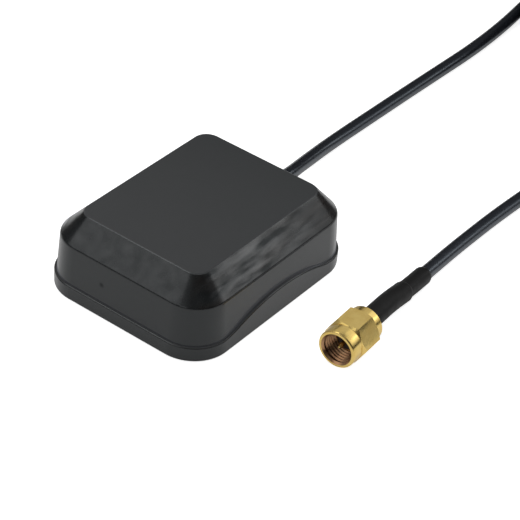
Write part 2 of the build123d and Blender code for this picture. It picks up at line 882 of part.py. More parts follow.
with BuildPart() as cable_coil:
    with BuildSketch(coil_section(90 + tie_arc / 2)):
        with Locations((coil_radius, coil_height / 2)):
            RectangleRounded(coil_width, coil_height, coil_corner)
    revolve(axis=coil_axis, revolution_arc=360 - tie_arc)
    with BuildSketch(coil_section(90 - tie_arc / 2)):
        with Locations((coil_radius, coil_height / 2)):
            RectangleRounded(
                coil_width - 2 * tie_thick, coil_height - 2 * tie_thick, coil_corner - tie_thick
            )
    revolve(axis=coil_axis, revolution_arc=tie_arc)
keep("cable_coil", cable_coil.part)

with BuildPart() as coil_tie:
    with BuildSketch(coil_section(90 - tie_arc / 2)):
        with Locations((coil_radius, coil_height / 2)):
            RectangleRounded(coil_width, coil_height, coil_corner)
            RectangleRounded(
                coil_width - 2 * tie_thick, coil_height - 2 * tie_thick, coil_corner - tie_thick,
                mode=Mode.SUBTRACT,
            )
    revolve(axis=coil_axis, revolution_arc=tie_arc)
    tail_start = coil_y + coil_radius + coil_width / 2 - tie_thick / 2
    with BuildSketch(Plane((coil_x, tail_start, coil_height / 2), z_dir=(0, 1, 0))):
        Circle(tie_tail_diameter / 2)
    extrude(amount=tie_tail)
keep("coil_tie", coil_tie.part)


# Printed sizes for the notes
def report_lead(name, path, route):
    """Print a lead's length, radii and how its volume compares with its section."""
    section = pi * cable_diameter ** 2 / 4
    print(name, "length %.1f" % path.length)
    print("  radii", ", ".join("%.1f" % radius for radius in bend_radii(route)))
    print("  volume ratio %.5f" % (part_nodes[name].volume / (section * path.length)))


report_lead("antenna_lead", antenna_path, antenna_route)
report_lead("connector_lead", plug_path, plug_route)
coil_length = cable_total - antenna_path.length - plug_path.length
print("turns in the coil %.1f" % (coil_length / (pi * coil_mean_diameter)))
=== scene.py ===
# A gps antenna: a bevelled black puck on three metres of thin coaxial cable with a gold plug.
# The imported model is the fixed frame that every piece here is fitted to, in metres.
import math

import bmesh
import bpy
from mathutils import Matrix, Vector


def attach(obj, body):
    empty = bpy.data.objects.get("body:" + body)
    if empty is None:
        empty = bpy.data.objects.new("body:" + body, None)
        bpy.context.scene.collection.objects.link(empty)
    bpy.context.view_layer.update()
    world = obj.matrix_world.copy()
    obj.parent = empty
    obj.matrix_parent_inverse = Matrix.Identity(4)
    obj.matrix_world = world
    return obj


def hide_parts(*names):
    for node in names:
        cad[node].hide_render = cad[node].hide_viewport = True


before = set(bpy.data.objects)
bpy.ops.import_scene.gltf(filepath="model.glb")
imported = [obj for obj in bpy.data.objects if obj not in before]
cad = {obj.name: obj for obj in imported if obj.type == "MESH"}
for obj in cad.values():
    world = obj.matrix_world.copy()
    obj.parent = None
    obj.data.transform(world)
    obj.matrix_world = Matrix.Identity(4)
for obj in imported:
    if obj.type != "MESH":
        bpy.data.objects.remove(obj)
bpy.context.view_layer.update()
scene = bpy.context.scene
scene.view_settings.view_transform = "Standard"
MM = 0.001

# THE VIEW
# The picture was taken from 0.39 m away over the housing's front right corner, with a long lens
# and the camera tipped a few degrees.
view_turn = math.radians(34.39)
view_height = math.radians(37.21)
view_tip = math.radians(5.45)
view_distance = 388.0 * MM
view_target = Vector((7.03, 10.51, 0.0)) * MM
back = Vector(
    (
        math.cos(view_height) * math.sin(view_turn),
        -math.cos(view_height) * math.cos(view_turn),
        math.sin(view_height),
    )
)
level = Vector((math.cos(view_turn), math.sin(view_turn), 0.0))
above = back.cross(level)
right = level * math.cos(view_tip) + above * math.sin(view_tip)
camera = bpy.data.objects.new("camera", bpy.data.cameras.new("camera"))
camera.data.sensor_width = 36.0
camera.data.lens = 138.96
camera.data.clip_start = 0.01
camera.data.clip_end = 20.0
camera.matrix_world = Matrix.Translation(view_target + back * view_distance) @ Matrix(
    (right, back.cross(right), back)
).transposed().to_4x4()
scene.collection.objects.link(camera)
scene.camera = camera

# THE HOUSING
# Two mouldings in black ABS, joined on a parting line that waves up along each long side. The flat
# top has a fine satin texture; the bevels and walls are polished in the mould and a little wavy.
housing_black = (0.0118, 0.0132, 0.0138)
housing_dust = (0.25, 0.25, 0.24)


def finish(name, colour, roughness, metallic=0.0, **sockets):
    """A new material with its shader's own sockets set; returns the material and its shader."""
    material = bpy.data.materials.new(name)
    material.use_nodes = True
    shader = material.node_tree.nodes["Principled BSDF"]
    shader.inputs["Base Color"].default_value = (*colour, 1.0)
    shader.inputs["Roughness"].default_value = roughness
    shader.inputs["Metallic"].default_value = metallic
    for socket, value in sockets.items():
        shader.inputs[socket.replace("_", " ")].default_value = value
    return material, shader


def add(tree, kind, inputs=(), **settings):
    """A node of one kind, with its settings and its inputs: a value, or a socket to link from."""
    node = tree.nodes.new(kind)
    for setting, value in settings.items():
        setattr(node, setting, value)
    for socket, value in dict(inputs).items():
        if isinstance(value, bpy.types.NodeSocket):
            tree.links.new(value, node.inputs[socket])
        else:
            node.inputs[socket].default_value = value
    return node


def maths(tree, operation, first, second=0.0, clamp=False):
    """One step of arithmetic between two sockets or values."""
    inputs = {0: first, 1: second}
    return add(tree, "ShaderNodeMath", inputs, operation=operation, use_clamp=clamp).outputs[0]


def ramp(tree, value, start, end, low=0.0, high=1.0):
    """The value's run from start to end, spread from low to high."""
    inputs = {"Value": value, "From Min": start, "From Max": end, "To Min": low, "To Max": high}
    return add(tree, "ShaderNodeMapRange", inputs).outputs["Result"]


def tint(tree, mask, low, high):
    """A colour that goes from one to another as the mask goes from 0 to 1."""
    inputs = {"Factor": mask, 6: low, 7: high}
    for socket, colour in ((6, low), (7, high)):
        if isinstance(colour, tuple):
            inputs[socket] = (*colour, 1.0)
    return add(tree, "ShaderNodeMix", inputs, data_type="RGBA").outputs[2]


def node_group(name, inputs, output):
    """A shader node group with named inputs, given as name: value, and one named output."""
    tree = bpy.data.node_groups.new(name, "ShaderNodeTree")
    for socket, value in inputs.items():
        kind = "NodeSocketVector" if isinstance(value, tuple) else "NodeSocketFloat"
        made = tree.interface.new_socket(name=socket, in_out="INPUT", socket_type=kind)
        made.default_value = value
    tree.interface.new_socket(name=output, in_out="OUTPUT", socket_type="NodeSocketFloat")
    given = tree.nodes.new("NodeGroupInput").outputs
    return tree, given, tree.nodes.new("NodeGroupOutput").inputs[0]


def place_group(material, group, **inputs):
    """Puts a group in a material with that material's own values and returns its output."""
    node = material.node_tree.nodes.new("ShaderNodeGroup")
    node.node_tree = group
    for socket, value in inputs.items():
        node.inputs[socket].default_value = value
    return node.outputs[0]


def link(material, output, shader, socket):
    """Feeds one of the shader's sockets from a node."""
    material.node_tree.links.new(output, shader.inputs[socket])


def bump(material, height, shader, distance, normal=None):
    """A bump of one height texture, in metres, on the shader's normal."""
    inputs = {"Height": height, "Distance": distance}
    if normal is not None:
        inputs["Normal"] = normal
    node = add(material.node_tree, "ShaderNodeBump", inputs)
    link(material, node.outputs["Normal"], shader, "Normal")
    return node.outputs["Normal"]


# Mottle: soft uneven patches, stretched along any axis, as cooling leaves on a moulding
mottle, given, result = node_group(
    "mottle", {"Scale": 200.0, "Stretch": (1.0, 1.0, 1.0), "Contrast": 1.0}, "Mask"
)
place = add(mottle, "ShaderNodeTexCoord").outputs["Object"]
place = add(mottle, "ShaderNodeVectorMath", {0: place, 1: given["Stretch"]}, operation="MULTIPLY")
patches = add(
    mottle,
    "ShaderNodeTexNoise",
    {"Vector": place.outputs[0], "Scale": given["Scale"], "Detail": 2.5, "Roughness": 0.45},
)
centred = maths(mottle, "SUBTRACT", patches.outputs["Fac"], 0.5)
spread = maths(mottle, "MULTIPLY", centred, given["Contrast"])
mottle.links.new(maths(mottle, "ADD", spread, 0.5, True), result)

# Grain: the fine even texture of a satin surface, as a height for a bump
grain, given, result = node_group("grain", {"Scale": 4000.0}, "Height")
place = add(grain, "ShaderNodeTexCoord").outputs["Object"]
fine = add(
    grain,
    "ShaderNodeTexNoise",
    {"Vector": place, "Scale": given["Scale"], "Detail": 2.0, "Roughness": 0.6},
)
grain.links.new(fine.outputs["Fac"], result)

# Dust: sparse pale specks that settle on what faces up, in drifts
dust_reach = (0.12, 0.05)
drift_scale = 90.0
drift_share = 0.52
dust, given, result = node_group("dust", {"Scale": 2500.0, "Amount": 0.1}, "Mask")
place = add(dust, "ShaderNodeTexCoord").outputs["Object"]
facing = add(dust, "ShaderNodeNewGeometry").outputs["Normal"]
up = add(dust, "ShaderNodeSeparateXYZ", {0: facing}).outputs["Z"]
specks = add(dust, "ShaderNodeTexVoronoi", {"Vector": place, "Scale": given["Scale"]})
near = ramp(dust, specks.outputs["Distance"], *dust_reach)
drifts = add(dust, "ShaderNodeTexNoise", {"Vector": place, "Scale": drift_scale, "Detail": 3.0})
sparse = maths(dust, "GREATER_THAN", drifts.outputs["Fac"], drift_share)
lying = maths(dust, "MULTIPLY", maths(dust, "MULTIPLY", near, maths(dust, "MAXIMUM", up)), sparse)
dust.links.new(maths(dust, "MULTIPLY", lying, given["Amount"]), result)


def dress(material, *names):
    """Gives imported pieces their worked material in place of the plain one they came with."""
    for name in names:
        for slot in cad[name].material_slots:
            slot.material = material


def slant_shine(material, shader, level, start=0.6, left=0.2, end=0.95):
    """Keeps a surface seen at a slant from mirroring the white table too strongly."""
    tree = material.node_tree
    slant = add(tree, "ShaderNodeLayerWeight", {"Blend": 0.5}).outputs["Facing"]
    fall = ramp(tree, slant, start, end, 1.0, left)
    shader.inputs["Specular IOR Level"].default_value = level
    link(material, maths(tree, "MULTIPLY", fall, level), shader, "Specular IOR Level")
    return fall


def band(tree, value, rise, fall):
    """A mask that comes up over one stretch of a value and goes down again over a later one."""
    return maths(tree, "SUBTRACT", ramp(tree, value, *rise), ramp(tree, value, *fall))


# How far each kind of face turns up, as the height of its normal: a mask runs between the two.
# Whatever faces up below the ledge's top is the ledge of the base.
top_facing = (0.9, 0.99)
edge_facing = (0.76, 0.84)
edge_end = (0.95, 0.99)
bevel_facing = (0.3, 0.6)
bevel_end = (0.8, 0.95)
side_facing = (0.3, 0.6)
ledge_facing = (0.5, 0.7)
ledge_top = 8.0 * MM

# The walls are near black. The satin top is greyer, partly from its fine texture and partly as
# painted sheen that grows lighter towards the front; the rounded top edges and the base's ledge
# carry painted highlights
satin_black_and_sheen = (0.0405, 0.042, 0.043)
painted_front_sheen = (0.0545, 0.0555, 0.057)
front_sheen_run = (18.0 * MM, -22.0 * MM)
painted_ledge_highlight = (0.045, 0.045, 0.045)
painted_edge_highlight = (0.05, 0.052, 0.054)
warm_black = (0.018, 0.015, 0.0135)
cool_shine = (0.88, 0.97, 1.0)
top_roughness = 0.4
wall_roughness = 0.2
haze_scale = 160.0
haze_contrast = 1.6
haze_depth = 0.06
satin_scale = 5000.0
satin_depth = 0.004 * MM
dust_amount = 0.12

# The mould left a hard glossy skin on walls and bevels, uneven on the bevels: blotches on the end
# bevels, and on the side bevels streaks along the housing that fade out towards its back
plain_shine = 0.2
wall_shine = 0.5
skin_shine = 0.84
skin_index = 1.7
wave_depth = 0.04 * MM
wave_shine = 0.7
blotch_scale = 400.0
blotch_contrast = 0.8
streak_scale = 760.0
streak_contrast = 2.6
streak_stretch = (1.0, 0.2, 1.0)
calm_end = (-4.0 * MM, 18.0 * MM, 0.0, 0.75)
calm_level = 0.2
warm_scale = 420.0
warm_contrast = 3.0
slant_start = 0.75
slant_left = 0.25

# A dark speck in the left end of the front wall
speck_place = (-4.27 * MM, -23.45 * MM, 7.12 * MM)
speck_size = 0.75 * MM
speck_depth = 0.8
speck_black = (0.001, 0.001, 0.001)

# The housing gives off a faint painted glow in mirror rays only, so that shiny parts never mirror
# it as black as it is
painted_glow_colour = (0.9, 0.92, 1.0, 1.0)
painted_glow = 0.4


def moulded_plastic(name, colour):
    """Black plastic: satin where it faces up, polished and faintly wavy on bevels and walls, with
    painted sheen, painted highlights and a painted glow in mirrors.
    """
    material, shader = finish(
        name,
        colour,
        wall_roughness,
        Coat_IOR=skin_index,
        Coat_Roughness=wall_roughness,
        Specular_Tint=(*cool_shine, 1.0),
        Emission_Color=painted_glow_colour,
    )
    tree = material.node_tree
    facing = add(tree, "ShaderNodeNewGeometry").outputs["Normal"]
    facing = add(tree, "ShaderNodeSeparateXYZ", {0: facing}).outputs
    place = add(tree, "ShaderNodeTexCoord").outputs["Object"]
    parts = add(tree, "ShaderNodeSeparateXYZ", {0: place}).outputs
    upward = ramp(tree, facing["Z"], *top_facing)
    side = ramp(tree, maths(tree, "ABSOLUTE", facing["X"]), *side_facing)
    bevel = band(tree, facing["Z"], bevel_facing, bevel_end)
    edge_highlight = band(tree, facing["Z"], edge_facing, edge_end)
    low = maths(tree, "LESS_THAN", parts["Z"], ledge_top)
    ledge = maths(tree, "MULTIPLY", ramp(tree, facing["Z"], *ledge_facing), low)
    spot = add(tree, "ShaderNodeVectorMath", {0: place, 1: speck_place}, operation="DISTANCE")
    spot = ramp(tree, spot.outputs["Value"], speck_size, 0.0, 0.0, speck_depth)

    haze = place_group(material, mottle, Scale=haze_scale, Contrast=haze_contrast)
    rough = ramp(tree, upward, 0.0, 1.0, wall_roughness, top_roughness)
    rough = maths(tree, "ADD", rough, maths(tree, "MULTIPLY", haze, haze_depth))
    link(material, rough, shader, "Roughness")

    blotches = place_group(material, mottle, Scale=blotch_scale, Contrast=blotch_contrast)
    streaks = place_group(
        material, mottle, Scale=streak_scale, Stretch=streak_stretch, Contrast=streak_contrast
    )
    calm = ramp(tree, parts["Y"], *calm_end)
    streaks = add(tree, "ShaderNodeMix", {0: calm, 2: streaks, 3: calm_level}).outputs[0]
    waves = add(tree, "ShaderNodeMix", {0: side, 2: blotches, 3: streaks}).outputs[0]
    satin = place_group(material, grain, Scale=satin_scale)
    satin = bump(material, satin, shader, satin_depth)
    bump(material, maths(tree, "MULTIPLY", waves, bevel), shader, wave_depth, satin)

    uneven = maths(tree, "MULTIPLY", maths(tree, "SUBTRACT", waves, 0.5), wave_shine)
    shine = maths(tree, "ADD", maths(tree, "MULTIPLY", uneven, bevel), wall_shine)
    shine = maths(tree, "MULTIPLY", shine, maths(tree, "SUBTRACT", 1.0, spot))
    skin = ramp(tree, shine, plain_shine, plain_shine + skin_shine)
    skin = maths(tree, "MULTIPLY", skin, maths(tree, "SUBTRACT", 1.0, upward))
    fall = slant_shine(material, shader, plain_shine, slant_start, slant_left)
    link(material, maths(tree, "MULTIPLY", skin, fall), shader, "Coat Weight")

    warmth = place_group(
        material, mottle, Scale=warm_scale, Stretch=streak_stretch, Contrast=warm_contrast
    )
    warmth = maths(tree, "MULTIPLY", warmth, maths(tree, "MULTIPLY", bevel, side))
    # Painted sheen: the satin top is painted lighter towards the front
    top_tone_and_sheen = tint(tree, ramp(tree, parts["Y"], *front_sheen_run), satin_black_and_sheen, painted_front_sheen)
    tone = tint(tree, upward, tint(tree, warmth, colour, warm_black), top_tone_and_sheen)
    # Painted highlight on the upward face of the base's ledge
    tone = tint(tree, ledge, tone, painted_ledge_highlight)
    # Painted highlight along the rounded top edges
    tone = tint(tree, edge_highlight, tone, painted_edge_highlight)
    tone = tint(tree, place_group(material, dust, Amount=dust_amount), tone, housing_dust)
    link(material, tint(tree, spot, tone, speck_black), shader, "Base Color")

    # Painted glow: the housing gives off light in mirror rays only, though it is no lamp
    mirrored = add(tree, "ShaderNodeLightPath").outputs["Is Glossy Ray"]
    link(material, maths(tree, "MULTIPLY", mirrored, painted_glow), shader, "Emission Strength")
    return material


dress(moulded_plastic("cover_plastic", housing_black), "top_cover", "base_cover")

patch_contrast = 1.8
fine_share = 3


def mottled(name, dark, pale, rough, metallic=0.0, scale=300.0, depth=0.01):
    """A material whose colour, roughness and surface vary softly; depth is its relief, in mm."""
    material, shader = finish(name, dark, rough[0], metallic)
    patches = place_group(material, mottle, Scale=scale, Contrast=patch_contrast)
    link(material, tint(material.node_tree, patches, dark, pale), shader, "Base Color")
    link(material, ramp(material.node_tree, patches, 0.0, 1.0, *rough), shader, "Roughness")
    fine = place_group(material, mottle, Scale=scale * fine_share)
    bump(material, fine, shader, depth * MM)
    return material


# The seal between the mouldings and the pad under them are rubber, the four screws zinc plated
rubber_black = ((0.012, 0.012, 0.012), (0.022, 0.022, 0.021))
rubber = mottled("pad_rubber", *rubber_black, (0.6, 0.8), scale=400.0, depth=0.03)
dress(rubber, "case_seal", "foot_pad")
zinc = mottled(
    "screw_steel", (0.42, 0.43, 0.45), (0.6, 0.6, 0.6), (0.25, 0.45), metallic=1.0, scale=900.0
)
dress(zinc, "cover_screws")

# THE ANTENNA INSIDE
# A ceramic patch stuck with foam tape on the amplifier's board, which a tinned can screens from
# below; under the can a nickel plated disc magnet holds the antenna on a car's roof.
nickel = mottled("magnet_nickel", (0.5, 0.49, 0.46), (0.62, 0.6, 0.56), (0.2, 0.4), metallic=1.0)
dress(nickel, "magnet")
tin = mottled(
    "tin_plate", (0.55, 0.55, 0.54), (0.72, 0.72, 0.71), (0.25, 0.5), metallic=1.0, scale=500.0
)
dress(tin, "shield_can", "feed_pin", "solder_joints")
laminate = mottled("board_laminate", (0.008, 0.07, 0.025), (0.012, 0.1, 0.035), (0.3, 0.45))
dress(laminate, "circuit_board")
resin = mottled("chip_resin", (0.015, 0.015, 0.016), (0.03, 0.03, 0.03), (0.5, 0.7))
dress(resin, "amplifier_chip")
lid = mottled("filter_lid", (0.55, 0.48, 0.3), (0.66, 0.58, 0.38), (0.3, 0.5), metallic=1.0)
dress(lid, "signal_filter")
buff = mottled("capacitor_body", (0.24, 0.16, 0.1), (0.32, 0.23, 0.15), (0.4, 0.6), scale=900.0)
dress(buff, "chip_capacitors")
foam = mottled("tape_foam", (0.5, 0.5, 0.47), (0.68, 0.68, 0.64), (0.8, 0.95))
dress(foam, "patch_tape")
ceramic = mottled("ceramic", (0.5, 0.42, 0.32), (0.62, 0.54, 0.43), (0.55, 0.75))
dress(ceramic, "patch_ceramic")
silver = mottled(
    "silver_print", (0.66, 0.65, 0.6), (0.8, 0.79, 0.75), (0.35, 0.55), metallic=0.9, scale=800.0
)
dress(silver, "patch_electrode")

# THE CABLE'S END IN THE HOUSING
# The stripped end is soldered to the board; a moulded rubber grommet seals the hole that it comes
# through. Its section runs from the flange inside over the neck in the wall to the short tail.
hole_x = -3.0
hole_z = 5.2
grommet_section = [(21.5, 1.48), (21.5, 2.5), (21.8, 2.8), (22.3, 2.8), (22.4, 2.2), (23.9, 2.2)]
grommet_section += [(23.95, 2.6), (24.2, 2.75), (24.6, 2.7), (25.0, 2.4), (26.2, 1.9)]
grommet_section.append((26.3, 1.48))
grommet_sides = 48


def joined_rings(form, rings):
    """Faces between neighbouring closed rings of vertices, row by row; returns them in order."""
    faces = []
    for before, after in zip(rings, rings[1:]):
        for row in range(len(before)):
            beside = (row + 1) % len(before)
            corners = (before[row], after[row], after[beside], before[beside])
            faces.append(form.faces.new(corners))
            faces[-1].smooth = True
    return faces


form = bmesh.new()
rings = []
for step in range(grommet_sides):
    angle = 2 * math.pi * step / grommet_sides
    ring = []
    for along, out in grommet_section:
        x = hole_x + out * math.cos(angle)
        z = hole_z + out * math.sin(angle)
        ring.append(form.verts.new((x * MM, along * MM, z * MM)))
    rings.append(ring)
joined_rings(form, rings + rings[:1])
bmesh.ops.recalc_face_normals(form, faces=form.faces)
grommet_mesh = bpy.data.meshes.new("grommet")
form.to_mesh(grommet_mesh)
form.free()
grommet_mesh.set_sharp_from_angle(angle=math.radians(50))
grommet_mesh.materials.append(rubber)
grommet = bpy.data.objects.new("grommet", grommet_mesh)
scene.collection.objects.link(grommet)
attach(grommet, "antenna")
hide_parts("cable_grommet")

# What shows where the cable is stripped: its copper braid, the white core and the inner wire
braid_tones = ((0.5, 0.24, 0.12), (0.68, 0.36, 0.2))
braid = mottled("braid_copper", *braid_tones, (0.3, 0.5), metallic=1.0, scale=2500.0, depth=0.1)
dress(braid, "lead_braid", "plug_braid")
core = mottled("core_plastic", (0.6, 0.59, 0.55), (0.72, 0.71, 0.67), (0.35, 0.5))
dress(core, "lead_core", "plug_core")
copper = mottled(
    "copper_wire", (0.6, 0.29, 0.15), (0.72, 0.4, 0.24), (0.25, 0.4), metallic=1.0, scale=1500.0
)
dress(copper, "lead_conductor", "plug_conductor")

# THE CABLE
# One length of thin coaxial cable in a black PVC jacket. It leaves the housing at the back, lies on
# the table, is wound into a tied coil outside the picture, and comes back to the plug.
cable_diameter = 2.9 * MM
antenna_route = [
    (-3.0, 17.2, 5.2),
    (-3.0, 25.5, 5.2),
    (-2.7, 31.0, 4.5),
    (-4.2, 39.5, 3.0),
    (-5.7, 51.0, 1.45),
    (-5.5, 64.0, 1.45),
    (-5.2, 82.0, 1.45),
    (-4.4, 112.0, 1.5),
    (-7.8, 140.0, 1.6),
]
plug_route = [
    (35.594, 9.879, 4.0),
    (35.447, 12.675, 4.0),
    (35.1, 18.0, 3.0),
    (34.3, 27.0, 1.9),
    (33.75, 39.0, 1.45),
    (34.0, 58.0, 1.45),
    (36.2, 84.0, 1.5),
    (38.6, 106.0, 1.45),
    (40.2, 120.0, 2.4),
    (41.6, 130.0, 4.6),
    (42.35, 140.0, 4.3),
]

# The coil is wound in five layers, each nested in the one below: (layer, turn from the outside)
coil_x = 18.0
coil_y = 140.0
coil_z = 6.5
coil_turns = 21.5
coil_mean = 20.0
turn_pitch = 2.9
layer_rise = 2.515
winding = [(0, 0), (0, 1), (0, 2), (0, 3), (0, 4), (1, 3), (2, 4), (3, 3), (4, 4), (4, 3), (3, 2)]
winding += [(2, 3), (1, 2), (2, 2), (3, 1), (4, 2), (4, 1), (4, 0), (3, 0), (2, 1), (1, 1), (1, 0)]
turn_points = 14
spline_pull = 0.75 + 0.25 * math.cos(2 * math.pi / turn_points)
shift_share = 0.1
tie_squeeze = 0.86
tie_reach = math.radians(28)


def eased(share):
    """A share from 0 to 1 that starts and ends softly."""
    share = min(max(share, 0.0), 1.0)
    return share * share * (3 - 2 * share)


def in_section(layer, turn):
    """Where a turn lies in the coil's section: out from its middle, and up from the table."""
    outer = 2 * turn_pitch - turn * turn_pitch - (layer % 2) * turn_pitch / 2
    return outer, (layer - 2) * layer_rise


cord_points = list(antenna_route)
for step in range(1, int(coil_turns * turn_points)):
    wound = step / turn_points
    along = wound / coil_turns * len(winding)
    slot = int(along)
    shift = eased((along - slot - 1 + shift_share) / shift_share)
    out, rise = in_section(*winding[slot])
    next_out, next_rise = in_section(*winding[min(slot + 1, len(winding) - 1)])
    out += (next_out - out) * shift
    rise += (next_rise - rise) * shift
    angle = math.pi - 2 * math.pi * wound
    from_tie = abs((angle - math.pi / 2 + math.pi) % (2 * math.pi) - math.pi)
    squeeze = tie_squeeze + (1 - tie_squeeze) * eased(from_tie / tie_reach)
    radius = (coil_mean + out * squeeze) / spline_pull
    cord_points.append(
        (
            coil_x + radius * math.cos(angle),
            coil_y + radius * math.sin(angle),
            coil_z + rise * squeeze,
        )
    )
cord_points += reversed(plug_route)

cable_curve = bpy.data.curves.new("cable", "CURVE")
cable_curve.dimensions = "3D"
cable_curve.bevel_depth = cable_diameter / 2
cable_curve.bevel_resolution = 7
cable_curve.use_fill_caps = True
line = cable_curve.splines.new("NURBS")
line.points.add(len(cord_points) - 1)
for point, place in zip(line.points, cord_points):
    point.co = (place[0] * MM, place[1] * MM, place[2] * MM, 1.0)
line.order_u = 3
line.use_endpoint_u = True
line.resolution_u = 10
line.use_smooth = True
cable_curve.resolution_u = 10
cable = bpy.data.objects.new("cable", cable_curve)
scene.collection.objects.link(cable)

# The jacket is smooth PVC with a faint blue cast and a soft shine
jacket_black = (0.0125, 0.0138, 0.0172)
jacket_shine = (0.76, 0.87, 1.0, 1.0)
jacket, shader = finish("cable_jacket", jacket_black, 0.26, Specular_Tint=jacket_shine)
slant_shine(jacket, shader, level=0.9, start=0.55, left=0.12)
patches = place_group(jacket, mottle, Scale=500.0, Contrast=1.5)
rough = ramp(jacket.node_tree, patches, 0.0, 1.0, low=0.2, high=0.3)
link(jacket, rough, shader, "Roughness")
bump(jacket, place_group(jacket, mottle, Scale=900.0), shader, distance=0.02 * MM)
cable.data.materials.append(jacket)
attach(cable, "antenna")
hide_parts("antenna_lead", "cable_coil", "connector_lead")

# THE COIL'S TIE
# A flat wire tie, steel wire in black plastic, pulls the coil's turns together where they cross its
# loop; its two ends are twisted into a short tail.
tie_wide = 4.0
tie_thick = 0.7
tie_round = 0.2
tie_half_out = 6.1
tie_half_up = 5.7
tie_y = coil_y + coil_mean
tie_steps = 72
tie_corners = 0.7
tail_start = 167.0
tail_end = 172.8
tail_steps = 40
strand_thick = 0.78
strand_round = 0.3
strand_offset = 0.33
strand_pitch = 3.2
double_reach = 0.0005 * MM


def face_out(form):
    """Closes doubled points and turns every face outward."""
    bmesh.ops.remove_doubles(form, verts=form.verts, dist=double_reach)
    bmesh.ops.recalc_face_normals(form, faces=form.faces)


def shape_tree(name, inputs):
    """A geometry tree that works on a path, with named inputs given as name: (type, value)."""
    tree = bpy.data.node_groups.new(name, "GeometryNodeTree")
    interface = tree.interface
    interface.new_socket(name="Path", in_out="INPUT", socket_type="NodeSocketGeometry")
    for socket, (kind, value) in inputs.items():
        made = interface.new_socket(name=socket, in_out="INPUT", socket_type="NodeSocket" + kind)
        if value is not None:
            made.default_value = value
    interface.new_socket(name="Piece", in_out="OUTPUT", socket_type="NodeSocketGeometry")
    given = tree.nodes.new("NodeGroupInput").outputs
    return tree, given, tree.nodes.new("NodeGroupOutput").inputs["Piece"]


def finished(tree, body, material):
    """The last steps of every tree: smooth faces, the piece's material, and real geometry."""
    body = add(tree, "GeometryNodeSetShadeSmooth", {"Geometry": body}).outputs[0]
    dressed = {"Geometry": body, "Material": material}
    body = add(tree, "GeometryNodeSetMaterial", dressed).outputs[0]
    return add(tree, "GeometryNodeRealizeInstances", {"Geometry": body}).outputs[0]


def grow(name, tree, chains, closed=False, **inputs):
    """Runs a tree on chains of points and keeps the outcome as a plain mesh."""
    points, edges = [], []
    for chain in chains:
        first = len(points)
        points += chain
        edges += [(first + step, first + step + 1) for step in range(len(chain) - 1)]
        if closed:
            edges.append((len(points) - 1, first))
    mesh = bpy.data.meshes.new(name)
    mesh.from_pydata(points, edges, [])
    made = bpy.data.objects.new(name, mesh)
    scene.collection.objects.link(made)
    modifier = made.modifiers.new("grown", "NODES")
    modifier.node_group = tree
    for socket in tree.interface.items_tree:
        if socket.in_out == "INPUT" and socket.name in inputs:
            modifier[socket.identifier] = inputs[socket.name]
    state = bpy.context.evaluated_depsgraph_get()
    grown = bpy.data.meshes.new_from_object(made.evaluated_get(state), depsgraph=state)
    made.modifiers.clear()
    made.data = grown
    form = bmesh.new()
    form.from_mesh(grown)
    face_out(form)
    form.to_mesh(grown)
    form.free()
    return made


# A flat strap with rounded edges that follows a path, used for the loop and both ends of the tail
strap, given, result = shape_tree(
    "strap",
    {
        "Wide": ("Float", tie_wide * MM),
        "Thick": ("Float", tie_thick * MM),
        "Round": ("Float", tie_round * MM),
        "Across": ("Vector", (1.0, 0.0, 0.0)),
        "Material": ("Material", None),
    },
)
line = add(strap, "GeometryNodeMeshToCurve", {"Mesh": given["Path"]}).outputs[0]
turn = {"Curve": line, "Normal": given["Across"]}
line = add(strap, "GeometryNodeSetCurveNormal", turn, mode="FREE").outputs[0]
flat = {"Width": given["Wide"], "Height": given["Thick"]}
flat = add(strap, "GeometryNodeCurvePrimitiveQuadrilateral", flat).outputs[0]
flat = {"Curve": flat, "Count": 3, "Radius": given["Round"]}
flat = add(strap, "GeometryNodeFilletCurve", flat, mode="POLY").outputs[0]
body = {"Curve": line, "Profile Curve": flat, "Fill Caps": True}
body = add(strap, "GeometryNodeCurveToMesh", body).outputs[0]
strap.links.new(finished(strap, body, given["Material"]), result)

tie_black = ((0.014, 0.014, 0.015), (0.025, 0.025, 0.026))
tie_plastic = mottled("tie_plastic", *tie_black, (0.35, 0.55), scale=700.0)
loop = []
for step in range(tie_steps):
    angle = 2 * math.pi * step / tie_steps
    out, rise = (
        math.copysign(abs(share) ** tie_corners, share)
        for share in (math.cos(angle), math.sin(angle))
    )
    y = tie_y + tie_half_out * out
    z = coil_z + tie_half_up * rise
    loop.append((coil_x * MM, y * MM, z * MM))
strands = []
for start in (0.0, math.pi):
    strand = []
    for step in range(tail_steps + 1):
        along = (tail_end - tail_start) * step / tail_steps
        angle = start + 2 * math.pi * along / strand_pitch
        x = coil_x + strand_offset * math.cos(angle)
        z = coil_z + strand_offset * math.sin(angle)
        strand.append((x * MM, (tail_start + along) * MM, z * MM))
    strands.append(strand)
tie = grow(
    "wire_tie",
    strap,
    [loop],
    closed=True,
    Wide=tie_wide * MM,
    Thick=tie_thick * MM,
    Material=tie_plastic,
)
tail = grow(
    "tie_tail",
    strap,
    strands,
    Wide=strand_thick * MM,
    Thick=strand_thick * MM,
    Round=strand_round * MM,
    Material=tie_plastic,
)
form = bmesh.new()
form.from_mesh(tie.data)
form.from_mesh(tail.data)
form.to_mesh(tie.data)
form.free()
bpy.data.objects.remove(tail)
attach(tie, "antenna")
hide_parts("coil_tie")

# THE PLUG
# A miniature screw-on coaxial plug: a gold plated brass body crimped on the cable, with an
# insulator and a contact pin in it, and a gasket and a snap ring about its neck.
nose = Vector((36.4, -5.5, 4.0)) * MM
plug_turn = math.radians(3.0)
plug_back = Vector((-math.sin(plug_turn), math.cos(plug_turn), 0.0))
plug_side = Vector((math.cos(plug_turn), math.sin(plug_turn), 0.0))
gold_pale = (0.8, 0.6, 0.21)
gold_deep = (0.72, 0.5, 0.145)

